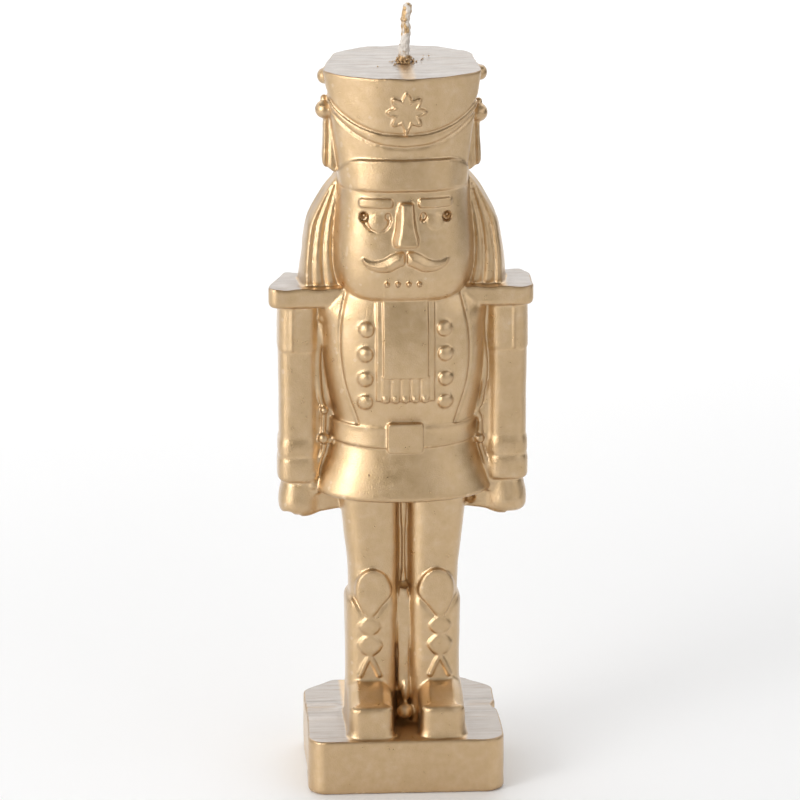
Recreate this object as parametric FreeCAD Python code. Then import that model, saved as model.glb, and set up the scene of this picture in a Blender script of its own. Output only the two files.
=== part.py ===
"""Nutcracker figure candle: a soldier cast in wax around a full-height wick, standing on a square plinth.

Frame: millimetres, +Z up, origin at the centre of the plinth's flat bottom, the soldier faces -Y.
The casting is one piece of wax. Each sculpted region of it is its own closed solid here, and
neighbouring regions meet face to face, so that every region keeps its own name and outline.
"""

import math
import os

import FreeCAD
import Part

V = FreeCAD.Vector

# ---------------------------------------------------------------- driving dimensions, in mm
FIGURE_TOP = 160.0          # top of the hat, the highest wax
WICK_TOP = 172.9            # tip of the free wick
WICK_FOOT = 2.0             # the wick stops short of the underside
WICK_RADIUS = 1.0

PLINTH_WIDTH = 42.6
PLINTH_DEPTH = 42.4
PLINTH_TOP = 12.3
PLINTH_CORNER = 5.5

BOOT_TOP = 41.5             # boots end and trousers begin
HEM = 64.5                  # bottom edge of the coat skirt
BELT_BOTTOM = 76.4
BELT_TOP = 81.0
COAT_TOP = 111.5            # the shoulder line
CHIN = 108.6
HAT_BOTTOM = 135.2

LEG_Y = -2.8                # the legs stand a little in front of the wick
BOOT_X = 6.8
DRIP_Y, DRIP_RADIUS = -8.8, 1.75
RELIEF = 0.6                # how far flat ornaments stand off the surface behind them

SHOULDER_BOTTOM = 107.1
SHOULDER_TIP_X = 28.8
SHOULDER_HALF_DEPTH = 7.0

ARM_X = 22.8
ARM_HALF_WIDTH = 4.4
ARM_HALF_DEPTH = 5.6
CUFF_TOP = 76.2
CUFF_BOTTOM = 67.2
HAND_BOTTOM = 59.3
WEB_HALF_THICKNESS = 1.6

# half width (X) and half depth (Y) at heights Z, bottom first
BOOT_SHAFT = [(PLINTH_TOP, 5.8, 6.4), (26.0, 5.6, 6.4), (BOOT_TOP, 5.85, 6.8)]
LEG = [(BOOT_TOP, 5.4, 6.3), (HEM, 6.5, 7.0)]
SKIRT = [(HEM, 19.7, 11.2), (70.5, 18.0, 10.4), (BELT_BOTTOM, 16.4, 9.6)]
BELT = [(BELT_BOTTOM, 16.9, 10.2), (BELT_TOP, 16.7, 10.1)]
COAT = [(BELT_TOP, 15.5, 9.4), (88.5, 16.6, 10.6), (96.0, 17.2, 11.3), (103.5, 16.8, 11.0), (COAT_TOP, 14.0, 8.8)]
HEAD = [(CHIN, 8.2, 6.6), (110.2, 11.8, 9.2), (113.4, 14.2, 10.8), (118.5, 15.0, 11.8), (125.5, 14.6, 11.9),
        (HAT_BOTTOM, 13.2, 10.8)]
CROWN = [(HAT_BOTTOM, 14.1, 11.5), (FIGURE_TOP, 17.4, 15.3)]
HAIR = [(COAT_TOP, 22.5, 16.6), (116.5, 22.2, 17.0), (123.0, 20.9, 16.8), (129.0, 18.8, 16.2), (HAT_BOTTOM, 14.6, 14.6)]
HAIR_FRONT_Y = -1.5


# ---------------------------------------------------------------- shape helpers
def ellipse(x, y, z, half_x, half_y):
    """A closed horizontal ellipse."""
    centre = V(x, y, z)
    if half_x >= half_y:
        curve = Part.Ellipse(V(x + half_x, y, z), V(x, y + half_y, z), centre)
    else:
        curve = Part.Ellipse(V(x, y + half_y, z), V(x + half_x, y, z), centre)
    return Part.Wire(curve.toShape())


def barrel(sections, x=0.0, y=0.0, grow=0.0):
    """A solid skinned over ellipses; grow makes it that much fatter all round."""
    wires = [ellipse(x, y, z, half_x + grow, half_y + grow) for z, half_x, half_y in sections]
    return Part.makeLoft(wires, True, len(wires) == 2)


def box(x0, x1, y0, y1, z0, z1):
    return Part.makeBox(x1 - x0, y1 - y0, z1 - z0, V(x0, y0, z0))


def front_plate(points, y0=-30.0, y1=0.0):
    """The closed outline of (x, z) points, extruded through y0 to y1."""
    corners = [V(x, y0, z) for x, z in points]
    face = Part.Face(Part.makePolygon(corners + corners[:1]))
    return face.extrude(V(0, y1 - y0, 0))


def relief(outline, under, over):
    """What an outlined ornament adds between the surface under it and the grown surface over it."""
    return outline.common(over).cut(under)


def rounded_box(x0, x1, y0, y1, z0, z1, radius, axis="z"):
    """A box with the four edges along one axis rounded."""
    solid = box(x0, x1, y0, y1, z0, z1)
    along = {"x": V(1, 0, 0), "y": V(0, 1, 0), "z": V(0, 0, 1)}[axis]
    edges = [e for e in solid.Edges if abs(e.tangentAt(e.FirstParameter).dot(along)) > 0.99]
    return solid.makeFillet(radius, edges)


def mirrored(shape):
    """The same shape on the other side of the figure."""
    return shape.mirror(V(0, 0, 0), V(1, 0, 0))


def both_sides(shape):
    return Part.makeCompound([shape, mirrored(shape)])


def arc_points(centre_x, centre_z, half_x, half_z, start_deg, end_deg, count):
    """Points along an elliptical arc in the front view."""
    angles = [math.radians(start_deg + (end_deg - start_deg) * i / (count - 1)) for i in range(count)]
    return [(centre_x + half_x * math.cos(a), centre_z + half_z * math.sin(a)) for a in angles]


# ---------------------------------------------------------------- plinth, boots and legs
def make_plinth():
    half_w, half_d = PLINTH_WIDTH / 2, PLINTH_DEPTH / 2
    block = rounded_box(-half_w, half_w, -half_d, half_d, 0, PLINTH_TOP, PLINTH_CORNER)
    top_edges = [e for e in block.Edges if e.BoundBox.ZMin > PLINTH_TOP - 0.01]
    return block.makeFillet(0.7, top_edges)


def make_boot():
    """One boot: an upright shaft and a square-toed shoe, on the +X side."""
    toe_y, toe_top, ankle_top = -19.3, 19.6, 22.0
    shaft = barrel(BOOT_SHAFT, BOOT_X, LEG_Y)
    side = [V(2.7, toe_y, PLINTH_TOP), V(2.7, toe_y, toe_top), V(2.7, LEG_Y - 5.0, ankle_top),
            V(2.7, LEG_Y + 5.0, ankle_top), V(2.7, LEG_Y + 5.0, PLINTH_TOP)]
    shoe = Part.Face(Part.makePolygon(side + side[:1])).extrude(V(10.1, 0, 0))
    toe_edges = [e for e in shoe.Edges if e.BoundBox.YMax < toe_y + 0.01 and e.BoundBox.ZMax > PLINTH_TOP + 1]
    shoe = shoe.makeFillet(1.2, toe_edges)
    return shaft.fuse(shoe).removeSplitter()


def lace_outline():
    """Knee flap, two loops of the lace, its loose ends and the line joining them, in the front view."""
    flap = arc_points(7.0, 44.3, 4.0, 4.2, 0, 180, 13) + [(3.0, 41.5), (7.7, 37.2), (11.0, 41.5)]
    loops = [[(7.7, z + 2.2), (5.6, z), (7.7, z - 2.2), (9.8, z)] for z in (35.2, 30.9)]
    ends = [(7.7, 29.2), (9.9, 24.2), (9.1, 23.8), (7.7, 26.8), (6.3, 23.8), (5.5, 24.2)]
    spine = [(7.35, 38.4), (8.05, 38.4), (8.05, 27.6), (7.35, 27.6)]
    return [flap, *loops, ends, spine]


def make_boot_lace(boot, leg):
    """Raised knee flap and lacing on the front of one boot."""
    over = barrel(BOOT_SHAFT, BOOT_X, LEG_Y, RELIEF).fuse(barrel(LEG, BOOT_X, LEG_Y, RELIEF + 0.62))
    pieces = [front_plate(points, y1=LEG_Y) for points in lace_outline()]
    return relief(pieces[0].multiFuse(pieces[1:]), boot.fuse(leg), over)


# ---------------------------------------------------------------- coat
def plastron_outline():
    """The raised coat front between its two curved seams."""
    seam = [(10.6, BELT_TOP), (12.6, 88.5), (14.0, 96.0), (14.0, 103.5), (12.4, COAT_TOP)]
    curve = Part.BSplineCurve()
    curve.interpolate([V(x, -30, z) for x, z in seam])
    right = curve.toShape()
    left = mirrored(right)
    top = Part.makeLine(V(12.4, -30, COAT_TOP), V(-12.4, -30, COAT_TOP))
    bottom = Part.makeLine(V(-10.6, -30, BELT_TOP), V(10.6, -30, BELT_TOP))
    wire = Part.Wire(Part.__sortEdges__([right, top, left, bottom]))
    return Part.Face(wire).extrude(V(0, 30, 0))


def make_jabot(under):
    """The neckcloth: a flat panel with five fringe tails, standing off the coat front."""
    half_width, panel_bottom, tails_bottom = 6.2, 93.1, 87.2
    panel = box(-half_width, half_width, -30, 0, panel_bottom, COAT_TOP)
    pitch = 2 * half_width / 5
    tails = [rounded_box(-half_width + pitch * i + 0.15, -half_width + pitch * (i + 1) - 0.15, -30, 0,
                         tails_bottom, panel_bottom, 0.9, "y") for i in range(5)]
    return relief(panel.multiFuse(tails), under, barrel(COAT, grow=2 * RELIEF))


def make_buttons():
    """Eight dome buttons in two rows."""
    rows = [(8.3, 103.8), (8.55, 98.3), (8.65, 92.5), (8.55, 87.2)]
    front = barrel(COAT, grow=RELIEF)
    domes = []
    for x, z in rows:
        surface_y = -11.6 * math.sqrt(1 - (x / 17.6) ** 2)
        dome = Part.makeSphere(1.6, V(x, surface_y, z), V(0, -1, 0)).cut(front)
        domes += [dome, mirrored(dome)]
    return Part.makeCompound(domes)


def make_buckle(under):
    """A square buckle plate with a raised rim."""
    plate = rounded_box(-3.9, 3.9, -12.2, -8, 75.2, 82.4, 0.9, "y")
    recess = rounded_box(-2.7, 2.7, -13, -11.6, 76.3, 81.3, 0.5, "y")
    return plate.cut(recess).cut(under)


# ---------------------------------------------------------------- arms
def make_shoulder_board(under):
    board = rounded_box(8, SHOULDER_TIP_X, -SHOULDER_HALF_DEPTH, SHOULDER_HALF_DEPTH, SHOULDER_BOTTOM, COAT_TOP, 3.0)
    return board.cut(under)


def make_sleeve():
    upper = barrel([(96.6, ARM_HALF_WIDTH, ARM_HALF_DEPTH), (SHOULDER_BOTTOM, ARM_HALF_WIDTH + 0.1, 5.7)], ARM_X)
    lower = barrel([(CUFF_TOP, ARM_HALF_WIDTH - 0.1, 5.4), (96.6, ARM_HALF_WIDTH - 0.1, 5.4)], ARM_X)
    return upper.fuse(lower)


def make_cuff():
    return barrel([(CUFF_BOTTOM, 4.2, 5.1), (69.4, 4.7, 5.7), (CUFF_TOP, 4.7, 5.7)], ARM_X)


def make_hand(leg):
    """A closed fist below the cuff, with the web of wax that joins it to the leg under the hem."""
    fist = barrel([(HAND_BOTTOM, 3.6, 3.8), (61.6, 4.6, 5.1), (CUFF_BOTTOM, 3.9, 4.4)], ARM_X)
    palm = box(12.0, ARM_X, -WEB_HALF_THICKNESS, WEB_HALF_THICKNESS, HAND_BOTTOM + 0.8, HEM)
    return fist.fuse(palm.cut(leg)).removeSplitter()


def make_leg_web(boot, leg):
    """The web between the legs, with the drip of wax that hangs from its foot between the shoes."""
    web = box(-2.6, 2.6, LEG_Y - 1.2, 3.2, PLINTH_TOP, HEM)
    web = web.cut(Part.makeCompound([boot, mirrored(boot), leg, mirrored(leg)]))
    web = max(web.Solids, key=lambda s: s.Volume)
    foot = box(-0.9, 0.9, DRIP_Y, LEG_Y, PLINTH_TOP, 19.5)
    return web.multiFuse([foot, Part.makeSphere(DRIP_RADIUS, V(0, DRIP_Y, 14.7))]).removeSplitter()


def make_side_web(neighbours):
    """The thin wall of wax that joins arm and hand to the body, on the mould's parting plane."""
    outline = [(9.0, SHOULDER_BOTTOM), (ARM_X, SHOULDER_BOTTOM), (ARM_X, HAND_BOTTOM + 0.6),
               (13.0, HAND_BOTTOM + 1.2), (9.0, HAND_BOTTOM + 1.2)]
    web = front_plate(outline, -WEB_HALF_THICKNESS, WEB_HALF_THICKNESS)
    solids = web.cut(Part.makeCompound(neighbours)).Solids
    between = [s for s in solids if s.CenterOfMass.x > 12.0]
    return max(between, key=lambda s: s.Volume)


# ---------------------------------------------------------------- head
def make_hair(head):
    """The curtain of hair behind and beside the head, flat in front and rounded behind."""
    wires = []
    for z, half_width, depth in HAIR:
        left, right = V(-half_width, HAIR_FRONT_Y, z), V(half_width, HAIR_FRONT_Y, z)
        curve = Part.Ellipse(right, V(0, HAIR_FRONT_Y + depth, z), V(0, HAIR_FRONT_Y, z))
        wires.append(Part.Wire([Part.Arc(curve, 0, math.pi).toShape(), Part.makeLine(left, right)]))
    return Part.makeLoft(wires, True, True).cut(head)


def make_nose(head):
    """A wedge nose, narrow at the bridge and wide at the tip."""
    bridge = [V(-1.9, -10.5, 132.2), V(1.9, -10.5, 132.2), V(1.7, -12.6, 131.8), V(-1.7, -12.6, 131.8)]
    tip = [V(-2.7, -10.5, 122.4), V(2.7, -10.5, 122.4), V(2.3, -15.4, 122.6), V(-2.3, -15.4, 122.6)]
    wires = [Part.makePolygon(corners + corners[:1]) for corners in (bridge, tip)]
    return Part.makeLoft(wires, True, True).cut(head)


def make_eyebrows(head):
    brow = rounded_box(2.7, 9.9, -30, 0, 130.4, 132.6, 0.8, "y")
    return both_sides(relief(brow, head, barrel(HEAD, grow=RELIEF)))


def make_eyes(head):
    eye = Part.makeCylinder(1.8, 30, V(6.3, -30, 127.6), V(0, 1, 0))
    return both_sides(relief(eye, head, barrel(HEAD, grow=RELIEF)))


def moustache_outline():
    """One half of a handlebar moustache, from the middle to its curled tip."""
    return [(0.0, 120.2), (1.4, 120.3), (4.6, 118.3), (7.4, 117.9), (9.2, 118.7), (8.6, 117.2),
            (6.6, 116.1), (4.0, 116.3), (1.6, 117.9), (0.0, 118.3)]


def make_moustache(head, nose):
    half = front_plate(moustache_outline(), -30, -4)
    whole = half.fuse(mirrored(half))
    return relief(whole, head.fuse(nose), barrel(HEAD, grow=2 * RELIEF))


def make_teeth(head):
    """A row of four small teeth on the lower lip."""
    teeth = [rounded_box(x - 0.6, x + 0.6, -30, 0, 112.4, 113.9, 0.3, "y") for x in (-3.6, -1.2, 1.2, 3.6)]
    return Part.makeCompound([relief(tooth, head, barrel(HEAD, grow=RELIEF)) for tooth in teeth])


# ---------------------------------------------------------------- hat
def make_visor(crown, head):
    """The peak over the brow, with its arched top edge."""
    over = barrel([(HAT_BOTTOM - 0.9, 15.2, 14.2), (143.0, 15.8, 13.6)])
    arch = front_plate(arc_points(0, 136.4, 15.0, 5.6, 180, 0, 25) + [(15.0, 134.6), (-15.0, 134.6)], y1=-3.0)
    return relief(arch, crown.fuse(head), over)


def make_swag(crown):
    """The cord that hangs across the hat front between the two rosettes."""
    upper = arc_points(0, 155.0, 15.6, 7.9, 180, 360, 21)
    lower = arc_points(0, 155.0, 16.4, 10.8, 360, 180, 21)
    return relief(front_plate(upper + lower, y1=-1.0), crown, barrel(CROWN, grow=RELIEF))


def make_star(crown, swag):
    """An eight-pointed badge over the swag."""
    centre_z, outer, inner, points = 152.6, 4.4, 3.1, 8
    outline = []
    for i in range(2 * points):
        radius = outer if i % 2 == 0 else inner
        angle = math.pi * i / points + math.pi / 2
        outline.append((radius * math.cos(angle), centre_z + radius * math.sin(angle)))
    return relief(front_plate(outline, y1=-5.0), crown.fuse(swag), barrel(CROWN, grow=1.6 * RELIEF))


def make_tassel(crown):
    """A rosette ball with a ribbon tail, on the side of the hat."""
    ball = Part.makeSphere(2.1, V(16.4, 0, 149.4), V(1, 0, 0))
    tail_top, tail_bottom = 148.0, 137.4
    sections = [(tail_bottom, 1.6, 2.5), (tail_top, 1.2, 1.7)]
    tail = barrel([(z, half_x, half_y) for z, half_x, half_y in sections], 15.4)
    return ball.fuse(tail).cut(crown)


def make_knob(crown):
    """The small ball near the hat's upper rim."""
    return Part.makeSphere(1.6, V(17.1, 0, 157.2), V(1, 0, 0)).cut(crown)


# ---------------------------------------------------------------- wick
def make_wick():
    """A round wick up the whole axis, whose free end leans a little to one side."""
    foot, bend, tip = V(0, 0, WICK_FOOT), V(0, 0, 165.0), V(1.1, 0, WICK_TOP)
    rise = (tip - bend).normalize()
    half_turn = rise.getAngle(V(0, 0, 1)) / 2
    setback = 0.45 * (tip - bend).Length
    radius = setback / math.tan(half_turn)
    arc_start, arc_end = bend - V(0, 0, setback), bend + rise * setback
    arc_middle = arc_start + V(radius * (1 - math.cos(half_turn)), 0, radius * math.sin(half_turn))
    path = Part.Wire([Part.makeLine(foot, arc_start), Part.Arc(arc_start, arc_middle, arc_end).toShape(),
                      Part.makeLine(arc_end, tip)])
    section = Part.Wire(Part.Circle(foot, V(0, 0, 1), WICK_RADIUS).toShape())
    return path.makePipeShell([section], True, False)


# ---------------------------------------------------------------- assembly
def build():
    """Every node's shape by name."""
    boot = make_boot()
    leg = barrel(LEG, BOOT_X, LEG_Y)
    coat = barrel(COAT)
    head = barrel(HEAD)
    crown = barrel(CROWN)
    skirt = barrel(SKIRT)
    belt = barrel(BELT)
    coat = coat.cut(head)
    plastron = relief(plastron_outline(), coat.fuse(head), barrel(COAT, grow=RELIEF))
    under_coat_front = coat.multiFuse([plastron, head])
    jabot = make_jabot(under_coat_front)
    buckle = make_buckle(belt.multiFuse([coat, skirt, plastron]))
    lace = make_boot_lace(boot, leg)
    web_between_legs = make_leg_web(boot, leg)
    board, sleeve = make_shoulder_board(under_coat_front), make_sleeve()
    cuff, hand = make_cuff().cut(skirt), make_hand(leg).cut(skirt)
    side_web = make_side_web([coat, belt, skirt, plastron, sleeve, cuff, hand, leg])
    nose = make_nose(head)
    moustache = make_moustache(head, nose)
    swag = make_swag(crown)

    nodes = {
        "plinth": make_plinth(), "leg_web": web_between_legs, "coat_skirt": skirt, "belt": belt,
        "belt_buckle": buckle, "coat_body": coat, "coat_front": plastron, "jabot": jabot,
        "coat_buttons": make_buttons(), "head": head, "nose": nose,
        "eyebrows": make_eyebrows(head), "eyes": make_eyes(head), "moustache": moustache,
        "teeth": make_teeth(head), "hair": make_hair(head), "hat_crown": crown,
        "hat_visor": make_visor(crown, head), "hat_swag": swag, "hat_star": make_star(crown, swag),
        "wick": make_wick(),
    }
    sided = {
        "boot": boot, "boot_lace": lace, "trouser_leg": leg, "side_web": side_web, "shoulder_board": board,
        "sleeve": sleeve, "cuff": cuff, "hand": hand, "hat_tassel": make_tassel(crown), "hat_knob": make_knob(crown),
    }
    for name, shape in sided.items():
        nodes[name + "_left"] = shape
        nodes[name + "_right"] = mirrored(shape)

    bored = Part.makeCylinder(WICK_RADIUS, FIGURE_TOP, V(0, 0, WICK_FOOT))
    pierced = ("plinth", "leg_web", "trouser_leg_left", "trouser_leg_right", "coat_skirt", "belt", "coat_body",
               "head", "hat_crown")
    for name in pierced:
        nodes[name] = nodes[name].cut(bored)
    return nodes


def main():
    os.makedirs("parts", exist_ok=True)
    for name, shape in build().items():
        solids = shape.Solids
        good = bool(solids) and all(s.isValid() and s.Volume > 0 for s in solids)
        print(f"{name:24s} solids {len(solids)} volume {sum(s.Volume for s in solids):10.2f} {'ok' if good else 'BAD'}")
        shape.exportStep(os.path.join("parts", name + ".step"))


main()
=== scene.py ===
"""Looks for the nutcracker figure candle: every wax region is sculpted as a distance field and meshed.

All regions are sampled on one lattice and melted together there, as a casting is. Each region is then
cut out of that one surface as its own closed piece, which stands for the CAD node of the same name.
Lengths inside the sculpt are in millimetres; meshes, lights and the camera are in metres.
"""
import math

import bmesh
import bpy
import numpy as np
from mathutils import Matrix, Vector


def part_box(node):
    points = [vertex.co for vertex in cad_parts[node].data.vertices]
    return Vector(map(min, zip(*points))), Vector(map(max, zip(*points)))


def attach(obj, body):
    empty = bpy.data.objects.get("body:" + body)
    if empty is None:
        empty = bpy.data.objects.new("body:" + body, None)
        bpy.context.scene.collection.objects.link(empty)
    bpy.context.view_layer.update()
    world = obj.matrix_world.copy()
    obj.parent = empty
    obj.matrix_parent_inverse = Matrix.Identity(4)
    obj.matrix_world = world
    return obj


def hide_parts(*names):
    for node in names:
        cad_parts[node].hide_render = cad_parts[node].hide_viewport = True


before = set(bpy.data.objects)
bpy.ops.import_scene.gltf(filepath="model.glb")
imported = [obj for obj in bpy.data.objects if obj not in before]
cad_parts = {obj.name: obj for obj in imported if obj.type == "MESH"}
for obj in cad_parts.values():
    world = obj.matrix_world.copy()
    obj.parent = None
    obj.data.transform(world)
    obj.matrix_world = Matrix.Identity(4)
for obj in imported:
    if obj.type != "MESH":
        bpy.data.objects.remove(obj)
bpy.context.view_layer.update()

import openvdb
from mathutils import Vector

MM = 0.001
LATTICE = 0.3     # spacing of the sample points
FULL, FACE, CORD, FINE = 1.0, 0.8, 0.7, 0.5  # shares of it; small relief gets the finest
REACH = 4.5                                  # how far a sculpt may stray outside its CAD node's box
OVERLAP = 0.35                               # how far a piece runs on under its neighbour
DIP = 0.05                                   # and how far below the surface it sinks there


# ---- the lattice and its distance fields
class Grid:
    """Points of the shared lattice inside a box; x, y and z broadcast against one another."""

    def __init__(self, low, high, step):
        self.step = step
        self.first = np.floor(np.array(low) / step).astype(int)
        last = np.ceil(np.array(high) / step).astype(int)
        axes = [np.arange(a, b + 1, dtype=np.float32) * np.float32(step) for a, b in zip(self.first, last)]
        self.x = axes[0][:, None, None]
        self.y = axes[1][None, :, None]
        self.z = axes[2][None, None, :]
        self.side = 1

    def facing(self, side):
        """The same points with x measured towards one side: +1 the soldier's left, -1 the right."""
        seen = object.__new__(Grid)
        seen.__dict__.update(self.__dict__)
        seen.x = self.x * side
        seen.side = side
        return seen


def smooth_min(a, b, k):
    """Union of two fields, with a fillet about k wide where they meet."""
    h = np.maximum(k - np.abs(a - b), 0.0) / k
    return np.minimum(a, b) - h * h * k * 0.25


def smooth_max(a, b, k):
    """Intersection of two fields, with the edge between them rounded over about k."""
    return -smooth_min(-a, -b, k)


def step_up(t):
    """A smooth step, 0 up to t = 0 and 1 from t = 1."""
    t = np.clip(t, 0.0, 1.0)
    return t * t * (3.0 - 2.0 * t)


def bump(t):
    """A smooth hump, 1 at t = 0 and gone beyond |t| = 1."""
    return np.clip(1.0 - t * t, 0.0, 1.0) ** 2


def profile(t, knots):
    """A smooth curve through (t, value) knots, flat beyond the ends."""
    at, value = np.array(knots, dtype=float).T
    slope = np.gradient(value, at)
    i = np.clip(np.searchsorted(at, t) - 1, 0, len(at) - 2)
    width = at[i + 1] - at[i]
    u = np.clip((t - at[i]) / width, 0.0, 1.0)
    rest = 1.0 - u
    return ((1 + 2 * u) * rest * rest * value[i] + u * rest * rest * width * slope[i]
            + u * u * (3 - 2 * u) * value[i + 1] - u * u * rest * width * slope[i + 1]).astype(np.float32)


def oval(g, half_x, half_y, power=2.4, cx=0.0, cy=0.0):
    """An upright column with a superellipse section; sizes, power and centre may vary from point to point."""
    u, v = np.abs(g.x - cx) / half_x + 1e-4, np.abs(g.y - cy) / half_y + 1e-4
    total = u ** power + v ** power
    r = total ** (1.0 / power)
    steep = np.sqrt((u ** (power - 1) / half_x) ** 2 + (v ** (power - 1) / half_y) ** 2)
    return (r - 1.0) * total / (r * steep)


def slab(g, z0, z1):
    """Everything between two heights."""
    return np.maximum(z0 - g.z, g.z - z1)


def rounded(past_x, past_y, corner):
    """A rectangle with round corners, from how far a point lies past its sides along x and y."""
    qx, qy = past_x + corner, past_y + corner
    return np.hypot(np.maximum(qx, 0), np.maximum(qy, 0)) + np.minimum(np.maximum(qx, qy), 0) - corner


def block(g, centre, half, radius):
    """A box with rounded edges."""
    qx = np.abs(g.x - centre[0]) - half[0] + radius
    qy = np.abs(g.y - centre[1]) - half[1] + radius
    qz = np.abs(g.z - centre[2]) - half[2] + radius
    outside = np.sqrt(np.maximum(qx, 0) ** 2 + np.maximum(qy, 0) ** 2 + np.maximum(qz, 0) ** 2)
    return outside + np.minimum(np.maximum(qx, np.maximum(qy, qz)), 0) - radius


def ball(g, centre, radii):
    """An ellipsoid; one number for the radii makes a sphere."""
    rx, ry, rz = (radii, radii, radii) if np.isscalar(radii) else radii
    r = np.sqrt(((g.x - centre[0]) / rx) ** 2 + ((g.y - centre[1]) / ry) ** 2 + ((g.z - centre[2]) / rz) ** 2)
    return (r - 1.0) * min(rx, ry, rz)


# ---- outlines in the front view
def curved(points, closed=True, pieces=6):
    """Points along a Catmull-Rom curve through the given ones."""
    p = np.array(points, float)
    ring = np.vstack([p[-1:], p, p[:2]]) if closed else np.vstack([2 * p[0] - p[1], p, 2 * p[-1] - p[-2]])
    out = []
    for i in range(1, len(ring) - 2):
        p0, p1, p2, p3 = ring[i - 1:i + 3]
        for u in np.arange(pieces) / pieces:
            out.append(0.5 * (2 * p1 + (p2 - p0) * u + (2 * p0 - 5 * p1 + 4 * p2 - p3) * u ** 2
                              + (3 * p1 - p0 - 3 * p2 + p3) * u ** 3))
    return out if closed else out + [p[-1]]


def outline(g, points, x=None):
    """Signed distance to a closed outline of (x, z) points, as seen from the front."""
    px, pz = (g.x if x is None else x), g.z
    best, sign = np.float32(1e9), np.float32(1.0)
    p = np.array(points, float)
    for (ax, az), (bx, bz) in zip(p, np.roll(p, -1, axis=0)):
        ex, ez = bx - ax, bz - az
        wx, wz = px - ax, pz - az
        t = np.clip((wx * ex + wz * ez) / (ex * ex + ez * ez), 0.0, 1.0)
        best = np.minimum(best, (wx - ex * t) ** 2 + (wz - ez * t) ** 2)
        crosses = ((pz >= az) != (pz >= bz)) & ((wx * ez - wz * ex > 0) == (ez < 0))
        sign = np.where(crosses, -sign, sign)
    return np.sqrt(best) * sign


def stroke(g, points, radius, x=None):
    """Distance to a line drawn through (x, z) points; radius may be a list, one per point."""
    px, pz = (g.x if x is None else x), g.z
    radii = radius if isinstance(radius, (list, tuple)) else [radius] * len(points)
    best = np.float32(1e9)
    for (ax, az), (bx, bz), ra, rb in zip(points, points[1:], radii, radii[1:]):
        ex, ez = bx - ax, bz - az
        t = np.clip(((px - ax) * ex + (pz - az) * ez) / (ex * ex + ez * ez), 0.0, 1.0)
        away = np.sqrt((px - ax - ex * t) ** 2 + (pz - az - ez * t) ** 2)
        best = np.minimum(best, away - ra - (rb - ra) * t)
    return best


def raised(surface, flat, height, edge=0.35):
    """An ornament with the given front outline that stands height above the surface."""
    return smooth_max(surface - height, flat, edge)


def in_front(g, d, depth):
    """Only what lies at least this far in front of the figure's middle."""
    return np.maximum(d, g.y + depth)


# ---- plinth, boots and legs
def low_high(node):
    """A CAD node's box in millimetres."""
    low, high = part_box(node)
    return np.array(low) / MM, np.array(high) / MM


PLINTH_HIGH = low_high("plinth")[1]
PLINTH_TOP = float(PLINTH_HIGH[2])
BOOT_TOP = float(low_high("boot_left")[1][2])
HEM = float(low_high("coat_skirt")[0][2])
BELT_LOW, BELT_HIGH = (float(v[2]) for v in low_high("belt"))
COAT_TOP = float(low_high("coat_body")[1][2])
CHIN = float(low_high("head")[0][2])
BRIM = float(low_high("hat_crown")[0][2])
HAT_TOP = float(low_high("hat_crown")[1][2])
LEG_Y = -3.6                        # middle of the legs, front to back
ROOT = 11.0                         # the boots and the web between them begin down here, inside the plinth
SHAFT_X = {1: 6.7, -1: 7.15}        # middle of each boot's shaft; 1 is the soldier's left, -1 the right
TOE_X = {1: 7.9, -1: 7.75}          # middle of each toe
TOE_Y, TOE_TOP, INSTEP = -19.6, 19.35, 22.7
LEG_SHIFT = {1: 0.0, -1: 0.25}      # the right leg stands a little further out
LACE_X, LACE_RISE = 7.7, 0.55
WEB_BACK = 2.8


def plinth(g):
    """A block with chamfered back corners, a chip in its left edge and a wavy trimmed top."""
    half_x, half_y = PLINTH_HIGH[0] - 0.15, PLINTH_HIGH[1] - 0.1
    half_x = half_x + 0.75 * step_up((2.0 - g.y) / 18.0) * step_up(-g.x)
    x = g.x + 0.25 * np.sin(g.y * 0.16 + 0.5)
    sides = rounded(np.abs(x) - half_x, np.abs(g.y) - half_y, 4.3)
    back_corner = (np.abs(x) + g.y) * 0.7071 - 25.2
    sides = smooth_max(sides, back_corner, 1.0)
    chip = np.hypot((g.x - PLINTH_HIGH[0] - 0.15) / 1.3, (g.y - 2.0) / 1.6) - 1.0
    sides = smooth_max(sides, -chip * 1.3, 0.6)
    shelf = step_up((np.abs(g.x) - 13.0) / 2.0)
    waves = 0.34 * bump((g.y - 4.2) / 2.6) - 0.26 * bump((g.y - 0.4) / 2.4) + 0.2 * bump((g.y + 4.0) / 3.0)
    top = g.z - PLINTH_TOP - shelf * waves
    d = smooth_max(sides, top, 0.5)
    return smooth_max(d, -g.z, 0.9)


def boot_shaft(g):
    half_x = profile(g.z, [(12, 5.75), (24, 5.6), (34, 5.7), (41.5, 5.85)])
    half_y = profile(g.z, [(12, 6.5), (24, 6.5), (34, 6.7), (41.5, 7.1)])
    return oval(g, half_x, half_y, 3.4, SHAFT_X[g.side], LEG_Y)


def collar(g):
    """The boot's top edge, cut down in a V at the front."""
    dip = 4.2 * np.clip(1.0 - np.abs(g.x - 7.4) / 4.2, 0.0, 1.0) * step_up((-g.y - 5.0) / 3.0)
    return (g.z - BOOT_TOP - 0.3 + dip) * 0.8


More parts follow.
